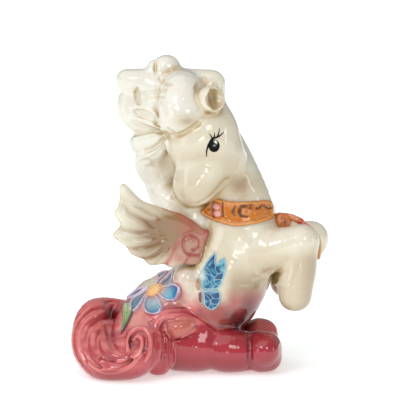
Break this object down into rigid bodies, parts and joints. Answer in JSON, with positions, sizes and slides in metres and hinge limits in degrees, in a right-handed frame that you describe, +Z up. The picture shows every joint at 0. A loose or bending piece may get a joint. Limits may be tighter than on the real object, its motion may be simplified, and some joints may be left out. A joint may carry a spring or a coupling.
{
  "type": "pegasus figurine",
  "caption": "Sitting winged horse in glazed porcelain that looks back over its shoulder, with a collar and relief ornaments; it stands on its flat underside.",
  "frame": {"origin": "centre of the bounding box in plan, on the plane the figurine rests on", "axes": "+Z up; +X the way the trunk and hind legs point; the horse's right side, with the ornaments, faces -Y"},
  "size_m": [0.068, 0.0544, 0.0849],
  "materials": {
    "cream_glaze": "clear gloss glaze over ivory-cream porcelain, warmer where it pools",
    "body_glaze": "clear gloss glaze, ivory-cream above, fading through pink to rose below",
    "wing_glaze": "clear gloss glaze, warm ivory feathers and a rose scroll at the root",
    "rose_glaze": "deep rose gloss glaze, darker in the grooves",
    "pink_glaze": "pale pink gloss glaze",
    "collar_glaze": "translucent orange-brown gloss glaze, darker in the recesses",
    "petal_glaze": "lavender rim round a petal that runs from pale blue to deep blue, gloss",
    "flower_centre_glaze": "orange-yellow gloss glaze",
    "leaf_glaze": "green gloss glaze with a dark edge",
    "butterfly_body_glaze": "brown gloss glaze",
    "butterfly_wing_glaze": "light-blue ribs round deep blue cells, gloss"
  },
  "bodies": {
    "root": {"head": "cream_glaze", "ear_left": "cream_glaze", "ear_right": "cream_glaze", "forelock": "cream_glaze", "torso": "body_glaze", "neck": "cream_glaze", "hind_leg_right": "rose_glaze", "hind_leg_left": "rose_glaze", "foreleg_right": "cream_glaze", "foreleg_left": "cream_glaze", "wing_right": "wing_glaze", "wing_left": "wing_glaze", "withers_lock": "cream_glaze", "mane_crown_roll": "cream_glaze", "mane_upper_lock": "cream_glaze", "mane_middle_lock": "cream_glaze", "mane_lower_lock": "cream_glaze", "mane_crest": "cream_glaze", "tail_swirl": "rose_glaze", "tail_root_lock": "rose_glaze", "haunch_curl": "pink_glaze", "collar": "collar_glaze", "collar_bead_upper": "pink_glaze", "collar_bead_lower": "pink_glaze", "bow_knot": "collar_glaze", "ribbon": "collar_glaze", "flower_centre": "flower_centre_glaze", "leaf": "leaf_glaze", "butterfly_body": "butterfly_body_glaze", "butterfly_forewing": "butterfly_wing_glaze", "butterfly_hindwing": "butterfly_wing_glaze", "flower_petal_1": "petal_glaze", "flower_petal_2": "petal_glaze", "flower_petal_3": "petal_glaze", "flower_petal_4": "petal_glaze", "flower_petal_5": "petal_glaze", "flower_petal_6": "petal_glaze"}
  },
  "joints": []
}
